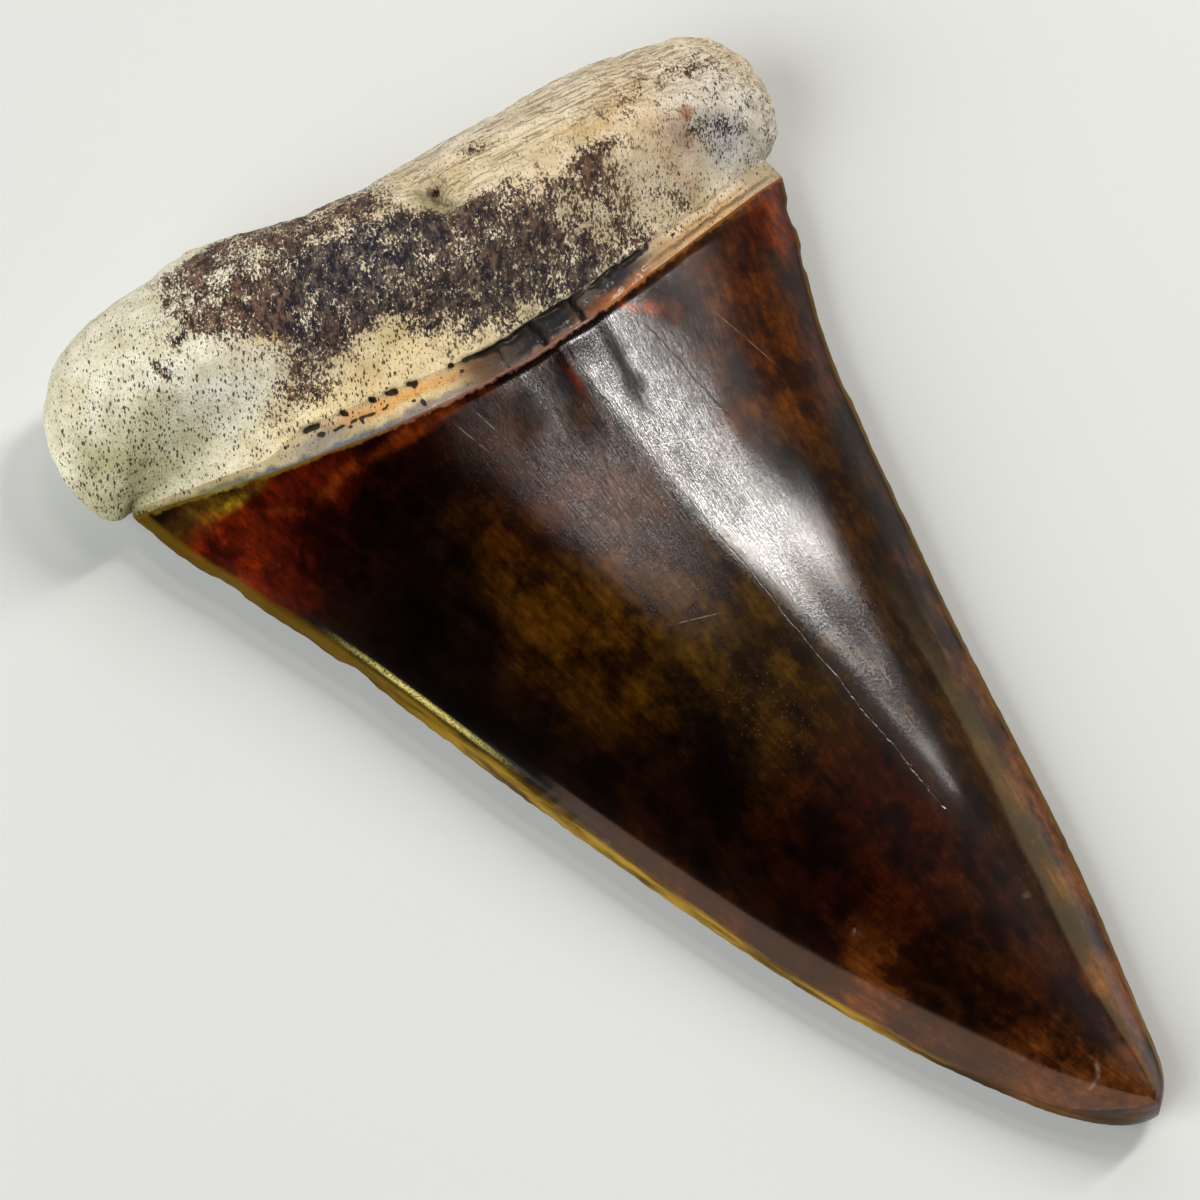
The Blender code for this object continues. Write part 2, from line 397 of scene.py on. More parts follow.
# Small hollows of the root, or lumps where the depth is negative: x, y, the two radii and the depth.
HOLLOWS = [
    (1.3, 5.2, 0.34, 0.7, 0.75), (1.4, 3.9, 0.4, 0.5, 0.6), (0.2, 4.9, 0.5, 0.7, -0.3),
    (2.5, 5.6, 0.6, 0.8, -0.28), (-1.2, 6, 0.9, 0.7, -0.22), (0.5, 6.6, 0.5, 0.4, 0.25),
    (2.2, 3.65, 0.7, 0.13, 0.25), (3.1, 3.3, 0.5, 0.12, 0.18), (-10.4, -3.4, 0.22, 0.25, 0.2),
    (16.5, 0.6, 0.8, 0.5, 0.12), (-14.4, 7.2, 0.3, 0.22, 0.2),
]


def weathered(r, x):
    """How much a point lies on the worn outer part of the right lobe, from 0 to 1."""
    return smooth((r - 0.45) / 0.25) * smooth((x + 4) / 6)


def root_relief(a, b, r, points, top):
    """How far the surface of the band and the root stands out from its plain form."""
    ends = between(a, 0, 1, 0.03)
    lumps = 0.26 * noise(points, 7.0, 40) + 0.09 * noise(points, 3.0, 41) + 0.07 * noise(points, 1.3, 42)
    grit = 0.045 * noise(points, 0.6, 43) + 0.02 * noise(points, 0.33, 44)
    x, y = points[..., 0], points[..., 1]
    fibres = 0.13 * weathered(r, x) * noise(points, (6.0, 0.55, 0.5), 45)
    scuffs = 0.08 * fractal(points, (0.5, 1.4, 0.6), 2, 46)
    if top:
        for at_x, at_y, wide, tall, deep in HOLLOWS:
            lumps = lumps - deep * np.exp(-((x - at_x) / wide) ** 2 - ((y - at_y) / tall) ** 2)
    return (lumps * smooth(r * 4) + grit + fibres + scuffs * smooth(r * 3)) * ends * smooth(b * 2)


# The crevice between the band and the root runs along part of the neck, given by x of its ends. Cracks
# cross the band, given by x, half width and depth.
CREVICE = (-12.5, 11.5)
CROSS_CRACKS = [
    (2.55, 0.16, 0.38), (5.15, 0.2, 0.42), (0.1, 0.12, 0.2), (8.9, 0.12, 0.12), (6.9, 0.1, 0.1),
    (-4.9, 0.18, 0.15), (-8.2, 0.12, 0.1),
]


def crevice(points, b):
    """How much a point lies in the crevice along the band's upper side, from 0 to 1."""
    x = points[..., 0]
    reach = smooth((x - CREVICE[0]) / 1.5) * smooth((CREVICE[1] - x) / 1.0)
    wander = 0.1 * along_x(points, 0.9, 50) + 0.05 * along_x(points, 0.3, 51)
    broken = 0.3 + 0.75 * smooth(x / 2 + 1.5) + 0.95 * along_x(points, 0.42, 52)
    wide = 0.08 + 0.05 * smooth(x / 2)
    return bell(b - 0.86 - wander, wide) * reach * np.clip(broken, 0, 1)


def cracked(points, b):
    x = points[..., 0] + 0.12 * noise(points, (50.0, 0.4, 50.0), 53)
    return sum(deep * bell(x - at, wide) for at, wide, deep in CROSS_CRACKS) * smooth((0.95 - b) * 6)


def band_relief(s, b, points, top):
    x = points[..., 0]
    inside = section(DOME, s)
    ends = smooth(b * 4)
    swell = 0.3 * np.sin(np.pi * np.clip(b / 0.82, 0, 1)) ** 0.8 * inside
    coarse = 1 + 0.9 * between(x, 0, 11.5, 1.5)
    ragged = (0.07 * noise(points, 0.8, 54) + 0.05 * noise(points, 0.35, 55)) * ends * coarse
    ridge = 0.2 * bell(b - 0.38, 0.1) - 0.12 * bell(b - 0.2, 0.08) - 0.16 * bell(b - 0.92, 0.07)
    ridge = ridge * smooth((x - 9) / 3)
    if not top:
        return ragged * smooth((1 - np.abs(s)) * 8)
    cuts = 0.42 * crevice(points, b) + cracked(points, b) * ends
    return (swell + ragged + ridge - cuts) * smooth((1 - np.abs(s)) * 12)


def outward(points):
    """Unit normals of a grid of points, all to the same side."""
    normal = np.cross(np.gradient(points, axis=0), np.gradient(points, axis=1))
    size = np.linalg.norm(normal, axis=-1, keepdims=True)
    normal = normal / np.maximum(size, 1e-12)
    middle = points.mean(axis=(0, 1))
    return normal * np.sign(np.sum(normal * (points - middle)))


# How far over the root the band's relief at their join still shows.
NECK_BLEND = 0.05


def root_grid():
    """The root with its band as one grid, from the enamel over the top, round the back and beneath."""
    a = np.linspace(0, 1, ROOT_COLUMNS + 1)
    s = crowded(a)
    band = np.linspace(0, 1, BAND_ROWS + 1)
    root = np.sin(np.linspace(0, np.pi / 2, ROOT_ROWS + 1))[1:]
    base = np.sin(np.linspace(0, np.pi / 2, BASE_ROWS + 1))[1:-1][::-1]
    b = np.concatenate([band, np.ones(ROOT_ROWS + len(base)), band[::-1]])
    r = np.concatenate([np.zeros(len(band)), root, base, np.zeros(len(band))])
    top_rows = len(band) + ROOT_ROWS
    b, r = (np.repeat(rows[:, None], len(s), axis=1) for rows in (b, r))
    a, s = (np.broadcast_to(columns, r.shape) for columns in (a, s))
    faces = []
    for rows, top in ((slice(None, top_rows), True), (slice(top_rows, None), False)):
        bone = root_face(a[rows], s[rows], r[rows], top)
        faces.append(np.where((r[rows] > 0)[..., None], bone, band_face(s[rows], b[rows], top)))
    points = np.concatenate(faces)
    upper = (np.arange(len(points)) < top_rows)[:, None]
    relief = np.where(upper, root_relief(a, b, r, points, True), root_relief(a, b, r, points, False))
    on_band = np.where(upper, band_relief(s, b, points, True), band_relief(s, b, points, False))
    joined = 1 - smooth(r / NECK_BLEND)
    at_neck = np.concatenate([on_band[BAND_ROWS:BAND_ROWS + 1]] * len(points))
    relief = relief + np.where(b < 1, on_band, np.where(upper, at_neck * joined, 0))
    normal = outward(points)
    shaped = points + normal * relief[..., None]
    shaped[..., 2] = np.maximum(shaped[..., 2], 0.0)
    return {"s": s, "b": b, "r": r, "upper": np.broadcast_to(upper, b.shape), "plain": points, "points": shaped}


def plain_middle():
    """The middle of the plain form's box on the plan."""
    edges = [along(line, np.linspace(0, 1, 400)) for line in (LEFT_EDGE, RIGHT_EDGE, ROOT_OUTLINE)]
    plan = np.concatenate(edges)
    return (plan.min(axis=0) + plan.max(axis=0)) / 2


# From the drawing's place to the frame's.
LOW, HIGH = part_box("tooth")
MIDDLE = (LOW + HIGH) / 2 / MM
SHIFT = np.array([MIDDLE.x - plain_middle()[0], MIDDLE.y - plain_middle()[1], LOW.z / MM])


# ---- meshes ----

def grid_faces(rows, columns, start=0):
    corner = np.arange(rows * columns).reshape(rows, columns) + start
    return np.dstack([corner[:-1, :-1], corner[:-1, 1:], corner[1:, 1:], corner[1:, :-1]]).reshape(-1, 4)


def bridge(first, second):
    """Faces between two rows of points, given by their numbers, with as many columns as the first."""
    match = second[np.round(np.linspace(0, len(second) - 1, len(first))).astype(int)]
    return np.stack([first[:-1], first[1:], match[1:], match[:-1]], axis=1)


def welded(name, points, faces, values, material):
    """A closed mesh of the points and faces in which points in one place are one, with its values."""
    keys = np.round(points / WELD).astype(np.int64)
    _, first, number = np.unique(keys, axis=0, return_index=True, return_inverse=True)
    number = number.reshape(-1)
    faces = number[faces]
    kept = []
    for face in faces.tolist():
        ring = [corner for k, corner in enumerate(face) if corner != face[k - 1]]
        if len(set(ring)) == len(ring) > 2:
            kept.append(ring)
    mesh = bpy.data.meshes.new(name)
    mesh.from_pydata((points[first] * MM).tolist(), [], kept)
    for key, data in values.items():
        data = np.asarray(data, np.float32)[first]
        if data.ndim == 1:
            layer = mesh.attributes.new(key, "FLOAT", "POINT")
            layer.data.foreach_set("value", data)
        else:
            layer = mesh.attributes.new(key, "FLOAT_VECTOR", "POINT")
            layer.data.foreach_set("vector", data.reshape(-1))
    mesh.materials.append(material)
    work = bmesh.new()
    work.from_mesh(mesh)
    bmesh.ops.recalc_face_normals(work, faces=work.faces)
    work.to_mesh(mesh)
    work.free()
    mesh.shade_smooth()
    piece = bpy.data.objects.new(name, mesh)
    bpy.context.scene.collection.objects.link(piece)
    return piece


# ---- colours: soft spots on the plan, each with x, y, its two radii, its colour and its strength ----

ENAMEL_GROUND = (0.009, 0.003, 0.0004)
# The small pale yellow spot at (-16.2, -3.1) is painted glints at the left corner of the crown.
ENAMEL_SPOTS = [
    (-9, -7, 8, 3.5, 0.01, 0.0008, 0.0002, 0.9), (-15, -5.6, 5.5, 3.6, 0.06, 0.005, 0.0004, 0.9),
    (-17.8, -4, 2.8, 2.4, 0.21, 0.02, 0.0008, 0.9), (-12.5, -5, 4.5, 1.3, 0.07, 0.006, 0.0005, 0.8),
    (-18.2, -2, 3.2, 1, 0.045, 0.032, 0.004, 0.9), (-16.2, -3.1, 1.5, 0.5, 0.3, 0.24, 0.014, 0.8),
    (-10, -17, 5.5, 10, 0.002, 0.0006, 0.0002, 0.95), (-1.5, -18, 5.5, 8, 0.062, 0.026, 0.001, 0.85),
    (-3, -13, 3, 3, 0.04, 0.01, 0.0006, 0.7), (3, -26, 4.5, 6, 0.055, 0.03, 0.0012, 0.85),
    (-3.5, -30, 4.5, 5.5, 0.004, 0.0008, 0.0002, 0.85), (4.5, -38, 5, 6, 0.032, 0.0055, 0.0004, 0.75),
    (1, -37, 3, 4, 0.006, 0.0008, 0.0002, 0.75), (8, -46, 3, 6, 0.04, 0.01, 0.0008, 0.75),
    (13.5, -8, 4.5, 5.5, 0.105, 0.03, 0.0006, 0.85), (12.5, -13.5, 3.5, 2.6, 0.12, 0.036, 0.001, 0.75),
    (13, -21, 3, 7, 0.044, 0.018, 0.0008, 0.8), (17.5, -5.5, 2, 4.5, 0.04, 0.009, 0.0006, 0.7),
    (18.6, -2.8, 2.2, 2, 0.2, 0.035, 0.001, 0.9), (11.5, -33, 3, 8, 0.04, 0.019, 0.002, 0.7),
    (12.5, -42, 1.8, 8, 0.085, 0.036, 0.004, 0.7), (14.9, -34, 1.2, 8, 0.17, 0.064, 0.01, 0.8),
    (13.6, -45, 1.4, 8, 0.22, 0.08, 0.014, 0.85), (12, -53, 1.6, 4.5, 0.22, 0.075, 0.02, 0.85),
    (-6, -38, 1.8, 6, 0.08, 0.022, 0.002, 0.7), (-0.5, -47, 2.6, 5.5, 0.12, 0.036, 0.005, 0.8),
    (4.6, -53, 2.6, 3, 0.11, 0.036, 0.008, 0.8), (9.5, -55.5, 4.5, 3.6, 0.1, 0.036, 0.01, 0.85),
    (5.7, -8.4, 0.7, 2.4, 0.004, 0.005, 0.01, 0.9), (1.2, -7.6, 1.7, 1.8, 0.006, 0.007, 0.014, 0.8),
    (2.9, -8, 0.35, 1.8, 0.13, 0.02, 0.006, 0.8), (9, -5, 1.2, 0.4, 0.34, 0.07, 0.003, 0.85),
    (-7.6, -5.5, 6, 0.4, 0.13, 0.024, 0.002, 0.8),
]
# The enamel's very edge at the neck has its own tint, with a pale painted highlight along its middle and painted
# glints at its left corner.
LIP_GROUND = (0.2, 0.055, 0.012)
LIP_TINT_AND_HIGHLIGHT_SPOTS = [
    (-17, -2.5, 7, 4, 0.11, 0.078, 0.008, 0.95), (-16.6, -3, 0.9, 0.9, 0.34, 0.28, 0.03, 0.8),
    (-9.5, -4.6, 4, 1.6, 0.16, 0.07, 0.008, 0.9), (1, -5.5, 7, 1.6, 0.24, 0.115, 0.085, 0.95),
    (8.4, -4.8, 1.8, 1.2, 0.46, 0.14, 0.02, 0.9), (15, -3, 5, 4, 0.2, 0.07, 0.01, 0.95),
]
# Duller places in the enamel's gloss: x, y, the two radii and the strength.
MATTE_SPOTS = [
    (12.9, -7.5, 5.6, 7.8, 0.93), (10.2, -5.6, 2.6, 3, 0.95), (5.7, -8.6, 0.55, 2.6, 0.9),
    (2.1, -9, 0.9, 2.6, 0.85), (7.3, -17, 1, 2, 0.3), (11.2, -13.6, 2.7, 6.8, 0.93),
    (-0.6, -8.2, 1.2, 1.6, 0.8),
]
# Where a painted line glints along the rim, where the gloss is worn, and where painted glints dot the enamel:
# centre and radii.
GLINT_SPOT = ((-12.4, -17.6), (3.0, 4.6))
WORN_SPOT = ((4.5, -9.5), (12.0, 16.0))
GLINTING_SPOT = ((2.8, -28.5), (2.6, 3.6))
LEAST_WORN = 0.15
# The face beneath takes its tints from other places of the same plan: scale and offset.
UNDER_PLAN = ((-0.8, 1.0), (3.0, 2.0))
# The grain runs down the crown, over half its width at the neck and its length.
GRAIN_SPAN = (20.0, 57.0)
# A small crescent bruise near the tip, pale dots, and pale hairline scratches by their two ends.
CRESCENT = (7.0, -53.6)
CRESCENT_RADIUS = 0.95
DOT_RADIUS = 0.16
DOTS = [(0.7, -41.2), (-7.9, -29.6), (9.6, -44.0)]
SCRATCHES = [
    ((4.4, -13.0), (8.6, -13.9)), ((5.6, -12.2), (8.0, -15.0)), ((0.2, -22.2), (3.2, -23.0)),
    ((12.0, -6.8), (13.9, -11.2)), ((-4.2, -6.4), (-3.2, -9.2)), ((-2.9, -6.2), (-2.3, -8.4)),
    ((6.4, -10.6), (9.9, -12.9)),
]
# How far the bone's pores lie turned on the plan, in radians.
PORE_SLANT = 0.35
BONE_GROUND = (0.82, 0.73, 0.52)
BONE_SPOTS = [
    (-18, 4, 8, 7, 0.88, 0.86, 0.66, 0.9), (-16, 2.2, 5, 2.4, 0.88, 0.87, 0.73, 0.8),
    (-20.8, 0.6, 4.2, 2.2, 0.54, 0.52, 0.3, 0.9), (-15, 8.5, 7, 3, 0.76, 0.74, 0.58, 0.8),
    (-6, -2.2, 7, 1.5, 0.9, 0.72, 0.38, 0.8), (9, 5, 10, 4, 0.8, 0.66, 0.43, 0.8),
    (17, 5, 5, 3.5, 0.82, 0.67, 0.46, 0.75), (19, 3, 3.4, 3.4, 0.84, 0.82, 0.74, 0.85),
    (17.9, 2.1, 1.6, 1, 0.62, 0.62, 0.63, 0.7), (13.6, 1.6, 0.9, 1.5, 0.66, 0.44, 0.26, 0.55),
    (14.4, -0.4, 0.7, 1.2, 0.68, 0.42, 0.28, 0.45), (12, 4.4, 2.6, 0.7, 0.78, 0.56, 0.28, 0.6),
    (8, 9, 12, 2, 0.76, 0.68, 0.54, 0.7), (-10, 1.6, 0.8, 0.6, 0.7, 0.42, 0.14, 0.8),
    (16.8, 3.2, 0.45, 0.4, 0.62, 0.26, 0.14, 0.9), (15.4, 2.5, 1, 0.7, 0.44, 0.27, 0.17, 0.65),
    (1, 4.6, 0.8, 1.3, 0.36, 0.34, 0.16, 0.8),
]
# Dark stains of the root: x, y, the two radii, how fully they cover, and how black rather than brown.
STAINS = [
    (-6.6, 3.6, 3.6, 1.9, 0.96, 0.9), (-4, 2.2, 3.6, 2.2, 0.98, 1), (-2, 3.2, 2.6, 1.4, 0.9, 0.8),
    (-7.2, 1.4, 2.6, 1.5, 0.86, 0.7), (-11, 4.6, 3.2, 1.4, 0.8, 0.1), (-12.6, 6.2, 2.2, 1.8, 0.7, 0.1),
    (-9.8, 3.2, 1.8, 1.5, 0.8, 0.2), (-6.5, 6.6, 2.6, 1.3, 0.82, 0.35), (-8.6, 8, 3.4, 1.3, 0.66, 0.1),
    (-2.8, 6.4, 2.2, 1.5, 0.78, 0.15), (-12, 8.4, 1.6, 0.9, 0.68, 0.1), (-5.4, 9.4, 3, 0.9, 0.7, 0.1),
    (2.6, -1.2, 4.2, 1.9, 0.97, 0.75), (4.8, -2.4, 4.2, 0.9, 0.95, 0.8), (2.2, 1.2, 3.6, 1.6, 0.84, 0.45),
    (1.6, 2.8, 2, 0.9, 0.84, 0.4), (5.4, 0.4, 2.4, 1.7, 0.7, 0.5), (6.8, 2.2, 3, 0.8, 0.42, 0.1),
    (8.8, 1.4, 1.6, 0.9, 0.5, 0.1), (10, 0.6, 1.5, 2, 0.58, 0.15), (10, 2.4, 1.2, 0.7, 0.62, 0),
    (8.4, -1.6, 3.2, 1.1, 0.58, 0.35), (10, 3, 5, 2.2, 0.26, 0.1), (14.2, 2.4, 2.2, 2.6, 0.24, 0.1),
    (14.5, 5.6, 4.4, 1.6, 0.3, 0), (19.4, 3.4, 2.4, 2.4, 0.3, 1), (-1.2, -0.6, 3, 1, 0.9, 0.7),
    (-6.4, 0.2, 2.8, 0.8, 0.82, 0.6), (-10.8, -0.6, 1.8, 0.9, 0.64, 0.1), (-9, -1.2, 1.2, 0.7, 0.62, 0.1),
    (-16.4, 3.7, 0.55, 0.45, 0.78, 0), (-17.7, 3.4, 0.35, 0.3, 0.74, 0), (-15, 4.8, 0.5, 0.5, 0.72, 0),
    (-14.3, 7.2, 0.42, 0.25, 1, 0.2), (17.7, 2.1, 1.5, 0.8, 0.5, 1), (4, 6.4, 1.8, 0.8, 0.55, 0.1),
    (17.8, 6.2, 2, 0.7, 0.5, 0.1), (1.5, 5.6, 0.35, 0.3, 0.9, 0.3), (13.5, -0.6, 1.6, 0.7, 0.52, 0.4),
    (-9, 9.4, 4.4, 1.3, 0.55, 0.1), (-3, 8.2, 3.4, 1.4, 0.55, 0.1), (-12.6, 7.2, 2.8, 1.8, 0.4, 0.1),
    (-5.5, 2.8, 5, 2.2, 0.6, 1),
]
# The band's own spots go by x along it and by tenths of the way from the enamel to the root.
BAND_GROUND = (0.52, 0.44, 0.27)
BAND_SPOTS = [
    (-18, 5, 4.6, 10, 0.44, 0.37, 0.19, 0.9), (-14, 5, 2.4, 7, 0.46, 0.41, 0.29, 0.8),
    (-18, 0.8, 5, 1.4, 0.26, 0.22, 0.05, 0.9), (-9, 5.5, 7, 5, 0.66, 0.55, 0.33, 0.9),
    (-6.2, 6.3, 4.6, 2.2, 0.8, 0.44, 0.14, 0.95), (-5, 3.4, 3.6, 1.2, 0.8, 0.66, 0.36, 0.8),
    (-10.6, 4.4, 1.8, 3, 0.26, 0.26, 0.25, 0.75), (-10.5, 0.8, 7, 0.9, 0.15, 0.18, 0.21, 1),
    (-3.6, 1.2, 2.6, 1, 0.34, 0.26, 0.26, 0.8), (-0.9, 4.5, 1.5, 7, 0.17, 0.085, 0.04, 0.9),
    (3, 5, 3.8, 9, 0.016, 0.016, 0.022, 1), (6.7, 2.4, 1.8, 2.6, 0.22, 0.06, 0.022, 0.85),
    (8.9, 6.2, 2.8, 5, 0.018, 0.016, 0.03, 1), (8.8, 1.3, 2.6, 1.2, 0.4, 0.13, 0.03, 0.85),
    (2.6, 0.6, 3.4, 0.8, 0.26, 0.14, 0.1, 0.8), (15.8, 5, 4.8, 10, 0.78, 0.52, 0.27, 0.95),
    (16, 7.6, 4.6, 1.5, 0.84, 0.74, 0.56, 0.75), (15, 2.6, 4, 0.5, 0.3, 0.18, 0.08, 0.8),
    (15.5, 5.2, 4, 0.5, 0.42, 0.28, 0.16, 0.7), (15.5, 9.2, 4.5, 0.5, 0.4, 0.3, 0.18, 0.7),
    (19.8, 6, 2, 8, 0.62, 0.52, 0.36, 0.9),
]
# Small dark pits of the band: x, share of the way to the root, and their half lengths.
BAND_PITS = [
    (-10.4, 0.55, 0.22, 0.16), (-8.9, 0.45, 0.16, 0.1), (-8.2, 0.5, 0.1, 0.12), (-5.3, 0.42, 0.16, 0.12),
    (-4.9, 0.3, 0.12, 0.14), (-6.6, 0.62, 0.1, 0.08), (-2.2, 0.66, 0.2, 0.12), (-12.4, 0.6, 0.14, 0.12),
    (12.4, 0.7, 0.3, 0.08),
]
# The glossier parts of the band: centre and radii.
GLOSSY_BAND = [((4.0, -4.4), (5.0, 1.6)), ((9.0, -3.4), (3.0, 1.2))]
# Where the bone's pores show: x, y, the two radii and the strength.
PORE_SPOTS = [
    (-18.5, 2.5, 6, 4, 1), (-21.2, 1.4, 2.6, 2, 1.25), (-7, -1.8, 10, 1.6, 1), (-12, 1, 5, 3, 0.7),
    (19, 2.5, 3.5, 3, 0.55), (13, -0.8, 3.5, 1.5, 0.9), (-17, 7, 6, 3.5, 0.45),
]


def warped(points, amount, size, seed):
    """The points' plan, pushed about by noise, so that a spot on it has an uneven edge."""
    shift = np.stack([noise(points, size, seed), noise(points, size, seed + 1)], axis=-1)
    return points[..., :2] + amount * shift


def crown_matte(s, points, edge):
    """How much of the gloss is gone, from 0 to 1: along both margins and on the matte spots."""
    y = points[..., 1]
    right = 0.65 * smooth((s - 0.62) / 0.2) * smooth((y + 36) / 12)
    left = 0.93 * smooth((-0.74 - s) / 0.12) * smooth((y + 26) / 7)
    far_right = 0.6 * smooth((s - 0.78) / 0.12)
    rim = np.where(s > 0, 0.9 * smooth((1.0 - edge) / 0.6), 0)
    return np.maximum.reduce([right, left, far_right, rim, patches(warped(points, 0.4, 1.2, 64), MATTE_SPOTS)])


def crown_marks(points):
    """The crescent bruise and the pale dots, from 0 to 1."""
    around = points[..., :2] - np.array(CRESCENT)
    ring = bell(np.linalg.norm(around, axis=-1) - CRESCENT_RADIUS, 0.1)
    marks = [ring * smooth((around[..., 0] - around[..., 1]) / 1.2)]
    for dot in DOTS:
        marks.append(bell(np.linalg.norm(points[..., :2] - np.array(dot), axis=-1), DOT_RADIUS))
    return np.maximum.reduce(marks)


def crown_values(s, v, points, top):
    """What the enamel's material reads at each point. Most of its marks are on the upper face alone."""
    drawn = points[..., :2]
    plan = warped(points, 1.3, 3.2, 60)
    if not top:
        plan = plan * np.array(UNDER_PLAN[0]) + np.array(UNDER_PLAN[1])
    edge = edge_distance(s, v)
    return {
        "tint": painted(plan, ENAMEL_GROUND, ENAMEL_SPOTS),
        "grain": np.dstack([s * GRAIN_SPAN[0], v * GRAIN_SPAN[1], points[..., 2]]),
        "edge": edge,
        "rim": np.where(s < 0, 0.7 - 0.3 * smooth((v - 0.42) / 0.25) + 0.12 * noise(points, 4.0, 62), 0.28),
        "rimtone": np.where(s < 0, 0.12 + 0.88 * smooth((v - 0.18) / 0.25), 0.15 + 0.5 * smooth((v - 0.75) / 0.2)),
        "rimshare": np.where(s < 0, 1 - 0.85 * smooth((v - 0.7) / 0.18), 1.0),
        "neck": v * CROWN_LENGTH,
        "crest": line_offset(CREST, s, v),
        "crestshare": line_share(CREST, v, 0.02) * top,
        "side": line_offset(SIDE_CRACK, s, v),
        "sideshare": line_share(SIDE_CRACK, v, 0.02) * top,
        "glint": spot(drawn, *GLINT_SPOT, 0.2) * top,
        "worn": LEAST_WORN + (1 - LEAST_WORN) * spot(plan, *WORN_SPOT, 0.35) * top,
        "matte": crown_matte(s, points, edge) * top,
        "mark": crown_marks(points) * top,
        "lip": painted(drawn, LIP_GROUND, LIP_TINT_AND_HIGHLIGHT_SPOTS),
        "speck_glints": spot(drawn, *GLINTING_SPOT, 0.2) * top,
    }


def root_stains(plan):
    """How much of each point is stained, and how black rather than brown the stain is there."""
    clear = np.ones(plan.shape[:2])
    black = np.full(plan.shape[:2], 0.01)
    weight = np.full(plan.shape[:2], 0.1)
    for x, y, wide, tall, cover, smoke in STAINS:
        share = spot(plan, (x, y), (wide, tall), 0.1) * cover
        clear = clear * (1 - share)
        black = black + smoke * share ** 2
        weight = weight + share ** 2
    return 1 - clear, black / weight


def band_cuts(points, b):
    """Where the band is cut open, from 0 to 1: its crevice, cracks and pits, and a broken seam on its left."""
    x = points[..., 0]
    cut = crevice(points, b) + cracked(points, b) * 2.5
    for at, share, length, breadth in BAND_PITS:
        cut = cut + bell(x - at, 0.7 * length) * bell(b - share, 0.6 * breadth)
    seam = bell(b - 0.58 - 0.07 * along_x(points, 0.8, 75), 0.05)
    return cut + seam * between(x, -12.5, -4.5, 1.5) * np.clip(0.25 + 1.5 * along_x(points, 0.35, 76), 0, 1)


def root_values(grid):
    """What the bone's material reads at each point."""
    points, b = grid["plain"], grid["b"]
    x = points[..., 0]
    plan = warped(points, 0.9, 2.2, 70)
    stain, black = root_stains(warped(points, 0.6, 1.1, 74) * 0.6 + plan * 0.4)
    gloss = sum(spot(points[..., :2], centre, radii, 0.5) for centre, radii in GLOSSY_BAND)
    below = np.where(grid["upper"], 1.0, 0.35)
    wander = np.stack([0.5 * noise(points, 0.8, 72), 1.1 * noise(points, 0.6, 73)], axis=-1)
    run = np.stack([x, 10 * b], axis=-1) + wander
    limit = 0.45 + 0.47 * smooth((x + 14) / 3)
    band = 1 - smooth((b - limit) / 0.12 + 0.5)
    return {
        "tint": painted(plan, BONE_GROUND, BONE_SPOTS),
        "bandtint": painted(run, BAND_GROUND, BAND_SPOTS),
        "stain": stain * below * (1 - band),
        "band": band,
        "black": black,
        "pores": patches(plan, PORE_SPOTS, 0.15),
        "gloss": np.clip(gloss, 0, 1),
        "cut": np.where((b < 1) & grid["upper"], band_cuts(points, b), 0),
        "fibre": weathered(grid["r"], x),
    }


# ---- materials ----

